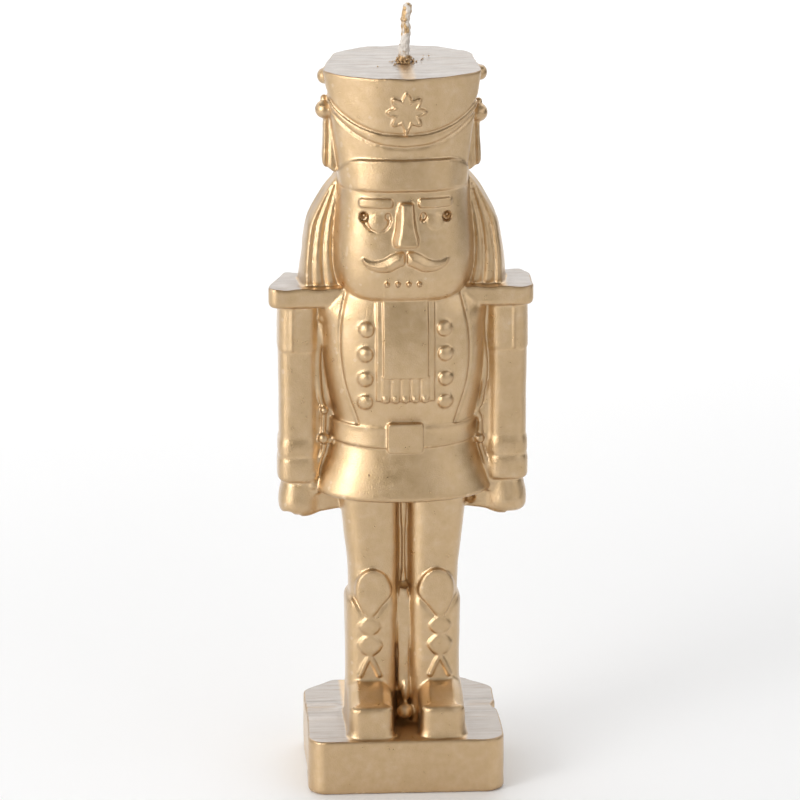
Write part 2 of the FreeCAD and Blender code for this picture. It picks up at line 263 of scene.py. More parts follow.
def boot(g, side):
    """A straight shaft on a square-toed shoe whose instep slopes down between two bevels."""
    g = g.facing(side)
    shaft = smooth_max(boot_shaft(g), collar(g), 1.9)
    shaft = smooth_max(shaft, ROOT - g.z, 0.3)
    spread = 0.28 * step_up((14.0 - g.z) / 1.6)
    slope = profile(-g.y, [(-2.0, INSTEP), (9.6, INSTEP), (12.0, 22.0), (17.6, TOE_TOP + 0.25),
                           (19.5, TOE_TOP)])
    across = np.abs(g.x - TOE_X[side])
    bevel = np.clip(across - 2.7, 0.0, 3.0) * 0.95 * step_up((g.y + 18.0) / 1.6)
    half = 5.0 - 0.15 * step_up((g.y + 16.5) / 3.0) + spread
    sides = smooth_max(across - half, TOE_Y - spread * 0.4 - g.y, 3.2)
    shoe = smooth_max(sides, g.z - slope + bevel, 1.2)
    shoe = smooth_max(shoe, g.y - 1.5, 0.8)
    shoe = np.maximum(shoe, ROOT - g.z)
    return smooth_min(shaft, shoe, 0.6)


def leg_surface(g):
    """A trouser leg's surface, wider and further out towards the hem."""
    middle = profile(g.z, [(41, 6.35), (48, 6.4), (56, 6.85), (64, 7.2)])
    half_x = profile(g.z, [(41, 5.4), (48, 5.6), (56, 6.05), (66, 6.6)])
    half_y = profile(g.z, [(41, 6.4), (50, 6.6), (66, 7.2)])
    return oval(g, half_x, half_y, 3.2, middle + LEG_SHIFT[g.side], LEG_Y)


def trouser_leg(g, side):
    g = g.facing(side)
    return np.maximum(leg_surface(g), slab(g, 38.0, HEM + 1.5))


def boot_lace(g, side):
    """The tongue above the boot's V, two crossings of the lace below it and two loose ends."""
    g = g.facing(side)
    lace = outline(g, curved([(2.9, 42.8), (3.4, 45.6), (4.8, 47.6), (7.0, 48.5), (9.2, 47.7), (10.6, 45.7),
                              (10.9, 43.0), (10.1, 40.4), (8.5, 37.5), (7.0, 37.5), (5.1, 39.9)]))
    for z, half, tall in ((35.3, 2.5, 2.4), (30.9, 2.8, 2.7)):
        lobe = ((np.abs(g.x - LACE_X) / half) ** 1.5 + (np.abs(g.z - z) / tall) ** 1.5) ** (1 / 1.5)
        lace = smooth_min(lace, (lobe - 1.0) * half * 0.8, 0.5)
    for reach in (-2.1, 2.1):
        end = stroke(g, [(LACE_X - reach * 0.2, 29.4), (LACE_X + reach * 0.45, 26.6), (LACE_X + reach, 23.9)],
                     [0.4, 0.62, 0.62])
        lace = smooth_min(lace, end, 0.3)
    surface = smooth_min(boot_shaft(g), leg_surface(g), 0.6)
    return np.maximum(raised(surface, lace, LACE_RISE, 0.75), g.y - LEG_Y + 2.0)


def leg_web(g):
    """The wax between the legs: a recessed sheet, a strip down its front and a drip on that."""
    z = g.z
    half = profile(z, [(12, 1.5), (24, 1.2), (43, 1.0), (45, 0.7), (66, 0.75)])
    front = profile(z, [(12, -5.7), (17.5, -5.9), (19.5, -7.5), (24, -7.9), (43, -8.1), (66, -8.7)])
    wall = smooth_max(np.abs(g.x + 0.15) - half, front - g.y, 0.5)
    core_front = profile(z, [(12, -5.2), (20, -5.5), (24, -6.2), (43, -6.5), (66, -7.2)])
    core = smooth_max(np.abs(g.x) - 3.2, np.maximum(core_front - g.y, g.y - WEB_BACK), 0.8)
    d = np.maximum(np.minimum(wall, core), np.maximum(g.y - WEB_BACK, slab(g, ROOT, HEM + 1.5)))
    drip = smooth_min(ball(g, (0.1, -8.8, 15.0), 1.8), ball(g, (0.3, -7.5, 19.4), (1.1, 1.5, 2.6)), 0.9)
    d = smooth_min(d, drip, 0.5)
    return smooth_max(d, -ball(g, (0.0, -7.0, 43.9), (1.1, 1.6, 0.9)), 0.4)


# ---- coat
def skirt_surface(g):
    half_x = profile(g.z, [(63, 20.0), (65.2, 19.8), (68.5, 18.7), (72, 17.2), (76.9, 15.9), (80, 15.6)])
    half_y = profile(g.z, [(63, 13.4), (65.2, 13.4), (68.5, 12.9), (72, 12.2), (76.9, 11.4), (80, 11.2)])
    return oval(g, half_x, half_y, 2.5)


def coat_skirt(g):
    """The flared skirt; its hem rises a little towards the sides."""
    droop = 0.012 * g.x * g.x * 0.16
    return smooth_max(skirt_surface(g), np.maximum(HEM - 0.2 + droop - g.z, g.z - BELT_LOW - 1.0), 1.0)


def lean(z):
    """The coat is not quite symmetrical: its middle wanders a little to the soldier's left lower down."""
    return profile(z, [(83, 0.35), (97, 0.1), (107, -0.25)])


LAPEL_Y = 7.0                       # the trunk's widths are those of a section this far forward
TORSO_POWER = 2.8
FRONT_RISE = 0.28                   # the coat's front stands this far out


def torso_surface(g):
    """The coat's trunk, widest at the chest."""
    half_y = profile(g.z, [(79, 11.0), (83, 11.4), (88, 12.3), (96, 13.0), (103, 12.7), (107, 12.0),
                           (112, 10.2)])
    edge = profile(g.z, [(79, 13.2), (82, 13.9), (86, 14.9), (90.5, 15.8), (97, 16.5), (103, 16.7),
                         (107, 16.9), (111, 13.9), (113, 12.4)])
    half_x = edge / (1.0 - (LAPEL_Y / half_y) ** TORSO_POWER) ** (1.0 / TORSO_POWER)
    return oval(g, half_x, half_y, TORSO_POWER, lean(g.z))


def lapel_x(z):
    """How far out each lapel's edge runs."""
    return profile(z, [(79, 9.8), (83.4, 11.0), (87, 12.2), (90, 13.1), (94, 13.85), (98.5, 14.15),
                       (103, 14.0), (107.5, 13.3), (111, 12.4)])


def coat_body(g):
    """The coat's trunk, with the groove along each lapel's edge."""
    crease = np.abs(g.x - lean(g.z)) - lapel_x(g.z)
    groove = 0.36 * bump(crease / 0.5) * step_up((-g.y - 2.0) / 2.0)
    return np.maximum(torso_surface(g) + groove, slab(g, BELT_HIGH - 1.0, COAT_TOP))


def coat_front(g):
    """The slightly raised front between the lapel edges."""
    flat = np.maximum(np.abs(g.x - lean(g.z)) - lapel_x(g.z) + 0.25, slab(g, BELT_HIGH - 1.0, COAT_TOP))
    return in_front(g, raised(torso_surface(g), flat, FRONT_RISE, 0.5), 3.0)


def belt(g):
    """A band round the waist that rises a little towards the sides."""
    surface = np.minimum(skirt_surface(g), torso_surface(g)) - 0.6
    sag = 0.0022 * g.x * g.x
    return smooth_max(surface, slab(g, BELT_LOW + sag, BELT_HIGH + 0.2 + sag), 0.5)


BUCKLE_Z = 78.9


def belt_buckle(g):
    """A rounded square plate with a groove inside its edge."""
    plate = block(g, (0, -13.2, BUCKLE_Z), (3.9, 2.6, 3.4), 0.75)
    ring = np.maximum(np.abs(g.x) - 2.9, np.abs(g.z - BUCKLE_Z) - 2.45)
    plate = plate + 0.3 * bump(ring / 0.45)
    front = 12.6 - 0.010 * g.x * g.x
    return smooth_max(plate, -g.y - front - 0.45, 0.4)


JABOT_BOTTOM, JABOT_FRINGE = 87.2, 93.1
STRIP_RISE, PANEL_RISE, TAIL_RISE, KNOB_RISE = 0.75, 1.25, 1.05, 1.45
TAIL_PITCH = 2.15


def jabot(g):
    """The neckcloth: a wide strip, a raised panel on it and five tails that end in knobs."""
    surface = torso_surface(g)
    wide = np.maximum(np.abs(g.x) - 6.35, slab(g, JABOT_BOTTOM + 0.2, COAT_TOP))
    sides = raised(surface, wide, STRIP_RISE, 0.4)
    middle = np.maximum(np.abs(g.x) - 4.95, slab(g, JABOT_FRINGE - 0.3, COAT_TOP))
    panel = raised(surface, middle, PANEL_RISE, 0.45)
    tail_x = g.x - TAIL_PITCH * np.clip(np.round(g.x / TAIL_PITCH), -2, 2)
    tail = np.maximum(np.abs(tail_x) - 0.93, slab(g, JABOT_BOTTOM + 1.0, JABOT_FRINGE + 0.4))
    fringe = raised(surface, tail, TAIL_RISE, 0.5)
    knob = np.sqrt(tail_x ** 2 + (g.z - JABOT_BOTTOM - 0.7) ** 2) - 0.9
    knobs = raised(surface, knob, KNOB_RISE, 1.0)
    d = smooth_min(sides, panel, 0.2)
    d = smooth_min(d, smooth_min(fringe, knobs, 0.3), 0.2)
    return in_front(g, d, 6.0)


BUTTONS = [(8.45, 103.7), (8.7, 98.2), (8.75, 92.5), (8.75, 87.1)]      # x and z, the same on both sides
BUTTON_RADIUS, BUTTON_HEIGHT = 1.75, 1.05


def coat_buttons(g):
    surface = torso_surface(g) - FRONT_RISE
    d = np.float32(9.0)
    for x, z in BUTTONS:
        across = np.sqrt((np.abs(g.x) - x) ** 2 + (g.z - z) ** 2)
        dome = np.sqrt((across / BUTTON_RADIUS) ** 2 + (surface / BUTTON_HEIGHT) ** 2) - 1.0
        d = np.minimum(d, dome * BUTTON_HEIGHT)
    return in_front(g, d, 5.0)


# ---- shoulders and arms
BOARD_LOW = float(low_high("shoulder_board_left")[0][2])
BOARD_TIP = float(low_high("shoulder_board_left")[1][0])
BOARD_BACK_CUT = {1: 27.2, -1: 26.1}
ARM_X = 22.9


def shoulder_board(g, side):
    """A board with a round outer front corner and a bevelled back one, trimmed unevenly on top."""
    tip = BOARD_TIP - 0.6 * side
    g = g.facing(side)
    sides = rounded(g.x - tip, np.abs(g.y + 0.85) - 7.15, 2.2)
    cut = 0.937 * g.x + 0.349 * g.y - BOARD_BACK_CUT[side]
    sides = smooth_max(sides, cut, 0.9)
    uneven = 0.15 * np.sin(g.x * 0.9 + 0.7) * np.sin(g.y * 0.6)
    d = smooth_max(sides, g.z - COAT_TOP - 0.1 - uneven, 0.35)
    d = smooth_max(d, BOARD_LOW - g.z, 1.5)
    return np.maximum(d, 8.0 - g.x)


def arm_surface(g, grow):
    """The straight arm's surface, made larger all round by grow."""
    middle = ARM_X + profile(g.z, [(66, -0.05), (97, 0.0), (107, -0.1)])
    half_x = profile(g.z, [(66, 4.15), (76, 4.15), (90, 4.15), (97, 4.25), (107, 4.25)]) + grow
    half_y = profile(g.z, [(66, 5.3), (90, 5.2), (107, 5.6)]) + grow
    return oval(g, half_x, half_y, 3.8, middle, -0.6)


def sleeve(g, side):
    """The arm down to the cuff; its upper part stands out a little and has a seam down the front."""
    g = g.facing(side)
    upper = 0.2 * step_up((g.z - 96.6) / 0.5)
    ridge = 0.3 * bump((g.x - 24.2) / 0.7) * step_up((g.z - 96.8) / 0.6) * step_up(-g.y)
    d = arm_surface(g, 0.0) - upper - ridge
    return np.maximum(d, slab(g, 71.0, BOARD_LOW + 1.0))


def cuff(g, side):
    """Two bands, with a groove between them."""
    g = g.facing(side)
    band = 0.24 * step_up((77.2 - g.z) / 2.4)
    groove = 0.16 * bump((g.z - 72.7) / 0.8)
    flare = 0.14 * step_up((72.6 - g.z) / 1.6)
    d = arm_surface(g, 0.05) - band + groove - flare
    return smooth_max(d, slab(g, 67.1, 76.8), 1.1)


HAND_LOW = 59.3
HAND_X, HAND_Y = 22.85, -0.7


def palm(g):
    """The flat of the hand and the wax that joins it to the leg, under the coat's hem."""
    depth = profile(g.x[:, 0, 0], [(10, 3.4), (14, 3.4), (18, 3.8), (22, 4.4)])[:, None, None]
    low = profile(g.x[:, 0, 0], [(12, 60.6), (17, 60.0), (21, 59.3)])[:, None, None]
    d = smooth_max(np.abs(g.y + 0.6) - depth, low - g.z, 1.2)
    return np.maximum(d, np.maximum(g.z - HEM - 2.0, 9.0 - g.x))


def hand(g, side):
    """A mitten fist. The soldier's right hand shows a notch between its two lobes."""
    g = g.facing(side)
    half_x = profile(g.z, [(59.0, 4.0), (61.0, 4.3), (63.5, 4.25), (66.2, 3.75), (68, 3.8)])
    half_y = profile(g.z, [(59.0, 4.4), (61.5, 5.3), (64.0, 5.1), (68, 4.6)])
    fist = oval(g, half_x, half_y, 2.6, HAND_X, HAND_Y)
    fist = smooth_max(fist, np.maximum(HAND_LOW - g.z, g.z - 67.4), 1.6)
    fist = smooth_min(fist, np.maximum(palm(g), g.x - 22.0), 1.2)
    if side < 0:
        notch = np.hypot(g.x - 25.1, (g.z - 58.9) * 0.8) - 0.95
        return smooth_max(fist, -notch, 0.8)
    return smooth_max(fist, -ball(g, (14.6, -4.2, 62.6), (1.1, 1.6, 1.3)), 0.5)


# height of each point of the seam line and its distance from the middle, on the soldier's right and left
FLASH = {
    -1: [(58, 18.6), (64, 19.0), (66, 19.3), (69.5, 19.1), (72, 18.2), (75.2, 17.3), (77, 17.5), (81, 17.4),
         (83.4, 17.3), (85.4, 17.9), (87.7, 18.25), (92.3, 18.5), (98, 18.3), (101.3, 18.0), (106, 17.4)],
    1: [(58, 18.0), (64.2, 18.6), (66.4, 19.3), (67.6, 19.1), (72.2, 17.7), (76.2, 16.7), (78, 16.8),
        (81.4, 16.7), (82.75, 16.1), (83.7, 16.6), (87, 17.4), (91.6, 17.9), (96.2, 17.7), (100.7, 17.1),
        (105.5, 16.6)],
}
# distance from the middle, height and size of the beads of wax on it
BEADS = {
    -1: [(17.2, 106.2, 0.7), (17.6, 104.4, 0.75), (16.5, 104.6, 0.5), (17.2, 83.4, 0.8), (17.4, 77.0, 1.05),
         (16.2, 76.5, 0.6), (19.6, 68.6, 0.6), (19.7, 66.3, 0.7)],
    1: [(16.7, 76.4, 0.9)],
}


def side_web(g, side):
    """The wax between arm and coat, with the mould seam's ridge and the beads along it."""
    g = g.facing(side)
    seam = profile(g.z, FLASH[side])
    front = 3.6 + 0.8 * step_up((g.x - seam) / 1.2)
    wall = np.maximum(np.maximum(-front - g.y, g.y - 3.2), slab(g, HEM - 1.0, BOARD_LOW + 0.5))
    wall = np.maximum(wall, np.maximum(11.0 - g.x, g.x - ARM_X))
    flash = smooth_max(np.abs(g.x - seam) - 0.5, np.maximum(-4.95 - g.y, g.y), 0.55)
    flash = np.maximum(flash, slab(g, 64.5, BOARD_LOW + 0.5))
    d = smooth_min(wall, flash, 0.4)
    for x, z, r in BEADS[side]:
        d = smooth_min(d, ball(g, (x, -4.9, z), r * 1.2), 0.3)
    return d


# ---- head
EYE_X, EYE_Z = 6.3, 127.9
BROW_X, BROW_Z = 6.4, 132.1
TOOTH_Z = 114.15


def head_surface(g):
    half_x = profile(g.z, [(CHIN - 1, 9.4), (109.2, 11.4), (110.4, 12.9), (112.2, 14.1), (114.5, 15.0),
                           (118.5, 15.5), (125, 15.2), (130, 14.6), (136, 14.1)])
    front = profile(g.z, [(CHIN - 1, 9.6), (109.2, 11.4), (110.4, 12.6), (112.2, 13.4), (114.5, 13.9),
                          (118.5, 14.2), (125, 14.0), (130, 13.6), (136, 13.3)])
    return oval(g, half_x, front, 3.1)


def head(g):
    """The head with a jaw panel a little proud of the chin, and its eye sockets."""
    d = smooth_max(head_surface(g), slab(g, CHIN - 0.9, BRIM + 1.0), 0.6)
    jaw = step_up((4.75 - np.abs(g.x)) / 0.35) * step_up((114.0 - g.z) / 3.0)
    return eye_sockets(g, d - 0.12 * jaw * step_up(-g.y - 6))


def eye_sockets(g, d):
    """A groove under each eye, mostly filled in on the left, and a beaded pit at its outer end."""
    x, z, surface = np.abs(g.x) - EYE_X, g.z - EYE_Z, head_surface(g)
    lid = [(-2.4, 1.7), (-2.9, 0.6), (-2.7, -0.6), (-1.8, -1.7), (-0.2, -2.25), (1.3, -1.7), (2.3, -0.4),
           (2.7, 0.8)]
    rim = stroke(g, [(u, EYE_Z + v) for u, v in lid], [0.4, 0.45, 0.3, 0.28, 0.25, 0.32, 0.5, 0.7], x)
    filled = step_up((g.x - 1.0) / 1.0) * step_up((0.4 - z) / 0.8)
    filled = np.maximum(filled, 0.75 * bump((x + 0.3) / 1.7) * step_up((-z - 0.8) / 0.8))
    d = d + 0.5 * (1.0 - 0.95 * filled) * step_up(-rim / 0.32 + 0.25) * step_up(-g.y - 8.0)
    corner = np.maximum(np.hypot((x - 2.65) / 0.95, (z - 1.0) / 1.15) - 1.0, -(surface + 1.5))
    tear = np.maximum(np.hypot((x + 2.5) / 0.6, (z - 1.2) / 0.8) - 1.0, -(surface + 0.8))
    carve = in_front(g, np.minimum(corner, tear), 6.0)
    d = smooth_max(d, -carve * 0.9, 0.35)
    bead = np.sqrt((x - 2.65) ** 2 + (z - 1.2) ** 2 + (surface + 1.1) ** 2) - 0.55
    return smooth_min(d, in_front(g, bead, 6.0), 0.2)


def eyes(g):
    disc = np.sqrt((np.abs(g.x) - EYE_X) ** 2 + (g.z - EYE_Z) ** 2)
    dome = head_surface(g) - 0.28 * bump(disc / 2.6)
    return in_front(g, smooth_max(dome, disc - 1.8, 0.5), 6.0)


def eyebrows(g):
    """Two straight bars with round ends."""
    across = np.abs(np.abs(g.x) - BROW_X) - 2.9
    brow = np.hypot(np.maximum(across, 0), np.maximum(np.abs(g.z - BROW_Z) - 0.25, 0)) - 0.8
    return in_front(g, raised(head_surface(g), brow, 0.5, 0.55), 6.0)


def nose(g):
    """A wedge that widens and comes forward to its tip; its right flank slopes more than the left."""
    half = profile(g.z, [(122.3, 2.55), (124.0, 2.75), (126.5, 2.2), (129.0, 1.95), (132.2, 1.85)])
    out = profile(g.z, [(122.3, 17.5), (123.6, 17.4), (127, 16.3), (130, 15.3), (132.4, 14.3)])
    depth = np.clip(-g.y - out + np.where(g.x < 0, 1.5, 2.2), 0, 4)
    side = (np.abs(g.x) - half + depth * np.where(g.x < 0, 0.7, 0.14)) * np.where(g.x < 0, 0.75, 0.95)
    d = smooth_max(side, -g.y - out, 0.45)
    d = smooth_max(d, np.maximum(122.6 - g.z + 0.2 * (-g.y - 15.0), g.z - 132.3), 0.7)
    return in_front(g, d, 9.0)


def moustache(g):
    """Two curled halves that swell towards their middles, with a cleft between them."""
    half = curved([(0.0, 121.1), (1.4, 121.5), (3.1, 120.9), (4.8, 119.9), (6.5, 119.4), (8.0, 119.5),
                   (9.0, 120.0), (9.45, 119.7), (9.1, 118.7), (8.0, 117.7), (6.1, 117.0), (3.7, 117.0),
                   (1.5, 118.0), (0.0, 118.8)])
    shape = outline(g, half, np.abs(g.x))
    swell = 0.7 * step_up(-shape / 1.8)
    cleft = 0.25 * bump(g.x / 0.5)
    return in_front(g, smooth_max(head_surface(g) - 0.5 - swell, shape, 0.6) + cleft, 6.0)


def teeth(g):
    """Four small beads under the moustache."""
    d = np.float32(9.0)
    for x in (-4.05, -1.7, 0.65, 2.95):
        d = np.minimum(d, ball(g, (x, -13.95 + 0.01 * x * x, TOOTH_Z), (0.56, 0.9, 0.66)))
    return d


def hair(g):
    """A curtain of hair: three strands on each side in front, and wavy locks behind."""
    width = profile(g.z, [(108, 22.6), (110.3, 22.5), (117.4, 22.1), (121.5, 21.5), (125.5, 20.6),
                          (129, 18.8), (133.6, 15.9), (136.5, 13.6)])
    back = profile(g.z, [(108, 13.4), (117, 14.6), (125, 15.0), (131, 14.4), (136.5, 12.6)])
    rest = profile(g.z, [(108, 13.2), (113, 14.6), (118.5, 15.3), (125, 15.0), (130, 14.4), (136, 13.9)])
    share = np.clip((np.abs(g.x) - rest) / np.maximum(width - rest, 0.6), -0.2, 1.2)
    strands = 0.65 * np.abs(np.sin(math.pi * 3.0 * share)) ** 0.8
    flare = profile(g.z, [(111.5, 2.2), (116, 2.1), (122, 1.5), (128, 0.5), (132, 0.0)])
    strands = strands * step_up((width - rest) / 3.0) * step_up((g.z - 111.0) / 1.5)
    front = -(g.y + 3.0 + flare) - strands
    turn = np.arctan2(g.y - 2.0, np.abs(g.x))
    locks = 0.30 * np.sin(turn * 17.0 + 0.8 * np.sin(g.z * 0.33) + 0.25 * g.z)
    locks = locks * step_up((g.y + 1.0) / 3.0)
    d = oval(g, width, back + 1.0, 2.2) - locks
    d = smooth_max(d, front, 0.9)
    return smooth_max(d, np.maximum(COAT_TOP - 1.6 - g.z, g.z - BRIM - 1.0), 0.6)


# ---- hat
STAR_X, STAR_Z = 0.18, 152.4
BALL_XZ = {1: (16.3, 149.3), -1: (16.9, 150.5)}          # each tassel's ball
KNOB = {1: (16.75, -2.2, 158.1), -1: (17.0, -2.2, 157.8)}
FRONT_ARC = 23.0                    # radius of the hat's broad front, seen from above


def crown_surface(g):
    """Squarish in front, where a broad shallow arc meets two soft corners, and rounder behind."""
    half_x = profile(g.z, [(134, 13.8), (140, 14.6), (148, 15.7), (155, 16.8), (161, 17.7)])
    half_y = profile(g.z, [(134, 12.8), (140, 13.2), (148, 13.9), (155, 14.7), (161, 15.4)])
    power = 2.3 + 1.3 * step_up((4.0 - g.y) / 8.0)
    d = oval(g, half_x, half_y, power)
    d = smooth_max(d, np.hypot(g.x, g.y - FRONT_ARC + half_y) - FRONT_ARC, 1.0)
    d = smooth_max(d, np.abs(g.x) * 0.673 + g.y * 0.739 - half_x * 0.938, 0.8)
    flank = np.where(g.x < 0, g.y * 0.229 - g.x * 0.974, g.y * 0.083 + g.x * 0.9965) - half_x * 0.92
    return smooth_max(d, flank, 0.8)


def swag_band(g):
    """The cord's front outline; it hangs from both sides of the hat and is widest in the middle."""
    upper = curved([(17.0, 155.6), (14.6, 152.2), (10.8, 149.5), (5.6, 147.7), (0, 147.2)], False)
    lower = curved([(0, 144.2), (5.6, 144.9), (10.0, 146.7), (13.6, 149.3), (16.8, 152.6)], False)
    return outline(g, upper + [(-2.5, 147.2), (-2.5, 144.2)] + lower, np.abs(g.x))


def swag_groove(band, g):
    """A groove along the cord's two edges."""
    return 0.42 * bump(band / 0.5) * step_up((-g.y - 2.0) / 3.0)


def hat_crown(g):
    """The flared crown, trimmed unevenly on top."""
    uneven = 0.12 * np.sin(g.x * 0.7 + 1.0) * np.sin(g.y * 0.5)
    uneven = uneven + 0.03 * np.sin(g.y * 2.3 + 0.4 * np.sin(g.x * 0.3))
    d = smooth_max(crown_surface(g) + swag_groove(swag_band(g), g), g.z - HAT_TOP - uneven, 0.3)
    return np.maximum(d, BRIM - 0.6 - g.z)


def hat_visor(g):
    """A band round the front of the hat's foot that fades into the crown at the sides."""
    across = np.abs(g.x)
    top = profile(across[:, 0, 0], [(0, 141.6), (7, 141.6), (10.5, 141.3), (12.4, 140.4), (13.8, 138.8),
                                    (14.8, 137.0), (15.8, 135.0)])
    relief = profile(g.z, [(134, 1.7), (138, 1.3), (142, 0.75)])
    d = crown_surface(g) - relief * (1.0 - 0.75 * step_up((across - 9.0) / 5.0))
    d = smooth_max(d, g.z - top[:, None, None], 0.5)
    d = smooth_max(d, 134.7 - g.z, 0.6)
    return smooth_max(d, g.y + 3.0, 0.8)


def hat_swag(g):
    """The cord itself, fullest along its middle."""
    band = swag_band(g)
    rise = 0.05 + 0.16 * step_up(-band / 1.2)
    return in_front(g, np.maximum(crown_surface(g) - rise + swag_groove(band, g), band - 0.1), 2.0)


def hat_star(g):
    """An eight-rayed star with a raised rim, and a drip under its lowest ray."""
    turn = np.arctan2(g.x - STAR_X, g.z - STAR_Z)
    reach = np.hypot(g.x - STAR_X, g.z - STAR_Z)
    edge = 3.75 + 0.68 * np.cos(8.0 * turn)
    star = (reach - edge) * 0.75
    rim = 0.22 * bump((star + 0.4) / 0.5)
    d = smooth_max(crown_surface(g) - 0.4 - rim, star, 0.35)
    drip = ball(g, (0.0, -14.2, STAR_Z - 4.7), (0.45, 0.7, 0.6))
    return in_front(g, smooth_min(d, drip, 0.6), 6.0)


def hat_tassel(g, side):
    """A ball with a small knot on top and a flat tassel below it."""
    g = g.facing(side)
    out, centre = BALL_XZ[side]
    d = smooth_min(ball(g, (out, -2.6, centre), 2.05), ball(g, (out + 0.1, -2.3, centre + 2.4), 0.8), 0.4)
    shift = out - 16.6
    fall = [(14.6, 148.6), (16.7, 148.6), (17.0, 144.0), (17.2, 140.0), (17.0, 138.4), (16.1, 137.7),
            (13.9, 137.5)]
    fall = curved([(x + shift, z) for x, z in fall])
    groove = profile(g.z, [(137, 16.0 + shift), (148, 15.8 + shift)])
    front = 2.5 - 0.4 * bump((g.x - groove) / 0.6)
    tail = np.abs(g.y + 1.6) - front * profile(g.z, [(137, 1.1), (148, 0.75)])
    return smooth_min(d, smooth_max(outline(g, fall), tail, 1.0), 0.4)


def hat_knob(g, side):
    g = g.facing(side)
    return ball(g, KNOB[side], (1.5, 1.8, 1.7))


# ---- meshing
def sided(shape, side):
    """The field of one side's copy of a shape."""
    return lambda g: shape(g, side)


# node: (field, fillet to its neighbours, share of the lattice's spacing)
REGIONS = {
    "plinth": (plinth, 0.6, FULL), "leg_web": (leg_web, 0.6, FULL), "coat_skirt": (coat_skirt, 0.4, FULL),
    "coat_body": (coat_body, 0.5, FULL), "coat_front": (coat_front, 0.3, FULL), "belt": (belt, 0.35, FULL),
    "belt_buckle": (belt_buckle, 0.4, FINE), "jabot": (jabot, 0.35, FINE),
    "coat_buttons": (coat_buttons, 0.4, FINE), "hair": (hair, 0.6, FULL), "head": (head, 0.5, FACE),
    "nose": (nose, 0.5, FINE), "eyebrows": (eyebrows, 0.35, FINE), "eyes": (eyes, 0.3, FINE),
    "moustache": (moustache, 0.3, FINE), "teeth": (teeth, 0.3, FINE), "hat_crown": (hat_crown, 0.4, FULL),
    "hat_visor": (hat_visor, 0.4, FULL), "hat_swag": (hat_swag, 0.15, CORD),
    "hat_star": (hat_star, 0.3, FINE),
}
# node without _left or _right: (field, fillet to its neighbours)
SIDED = {
    "boot": (boot, 0.5), "boot_lace": (boot_lace, 0.35), "trouser_leg": (trouser_leg, 0.5),
    "shoulder_board": (shoulder_board, 0.6), "sleeve": (sleeve, 0.6), "cuff": (cuff, 0.5),
    "hand": (hand, 0.6), "side_web": (side_web, 1.0), "hat_tassel": (hat_tassel, 0.5),
    "hat_knob": (hat_knob, 0.4),
}
for name, (shape, fillet) in SIDED.items():
    REGIONS[name + "_left"] = (sided(shape, 1), fillet, FULL)
    REGIONS[name + "_right"] = (sided(shape, -1), fillet, FULL)
RIPPLES, RIPPLE_HEIGHT = 7, 0.008
RIPPLE_LENGTH = (3.5, 9.0)


def ripple(g):
    """The slow unevenness of a poured and handled wax surface."""
    draw = np.random.default_rng(7)
    total = np.float32(0.0)
    for _ in range(RIPPLES):
        kx, ky, kz = draw.normal(size=3)
        length = math.sqrt(kx * kx + ky * ky + kz * kz)
        k = 2.0 * math.pi / (draw.uniform(*RIPPLE_LENGTH) * length)
        total = total + np.sin(g.x * (kx * k) + g.y * (ky * k) + g.z * (kz * k) + draw.uniform(0.0, 6.28))
    return RIPPLE_HEIGHT * total


def melt(g, own):
    """The whole casting's field on this grid, and the field that divides the region from the others."""
    size = (g.x.shape[0], g.y.shape[1], g.z.shape[2])
    span_low = g.first * g.step
    span_high = span_low + g.step * (np.array(size) - 1)
    whole, others, mine = None, None, None
    for name, (shape, fillet, _) in REGIONS.items():
        low, high = low_high(name)
        if np.any(low - REACH > span_high) or np.any(high + REACH < span_low):
            continue
        field = np.broadcast_to(shape(g), size)
        whole = field if whole is None else smooth_min(whole, field, fillet)
        if name == own:
            mine = field
        else:
            others = field if others is None else np.minimum(others, field)
    return whole + ripple(g), (mine - others) * 0.5


def sculpt(name, share):
    """One region as a closed surface: its points in metres and its quads."""
    low, high = low_high(name)
    g = Grid(low - REACH, high + REACH, LATTICE * share)
    whole, division = melt(g, name)
    field = np.maximum(whole + DIP * step_up(division / OVERLAP), division - OVERLAP)
    limit = 3.0 * g.step
    field = np.clip(field, -limit, limit).astype(np.float32)
    for axis in range(3):
        edge = [slice(None)] * 3
        for at in (0, -1):
            edge[axis] = at
            field[tuple(edge)] = limit
    volume = openvdb.FloatGrid(background=limit)
    volume.copyFromArray(np.ascontiguousarray(field))
    points, quads = volume.convertToQuads(0.0)
    return ((points + g.first) * (g.step * MM)).astype(np.float32), quads[:, ::-1].astype(np.int32)


def mesh_from(name, points, quads):
    """A smooth-shaded mesh of the given points and quads."""
    mesh = bpy.data.meshes.new(name)
    mesh.vertices.add(len(points))
    mesh.vertices.foreach_set("co", points.ravel())
    mesh.loops.add(quads.size)
    mesh.loops.foreach_set("vertex_index", quads.ravel())
    mesh.polygons.add(len(quads))
    mesh.polygons.foreach_set("loop_start", np.arange(0, quads.size, 4, dtype=np.int32))
    mesh.polygons.foreach_set("use_smooth", np.ones(len(quads), dtype=bool))
    mesh.update(calc_edges=True)
    mesh.validate()
    return mesh


def add_piece(name, mesh, material, slot, *nodes):
    """The visual piece that stands for the given CAD nodes."""
    piece = bpy.data.objects.new("visual_" + name, mesh)
    bpy.context.scene.collection.objects.link(piece)
    mesh.materials.append(material)
    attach(piece, "root")
    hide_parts(*nodes)
    return piece


# ---- wick
CRUMBS, HEAPED = 150, 110            # flakes in all, and how many of them lie in the heap
WICK_RADIUS, AROUND = 1.02, 48


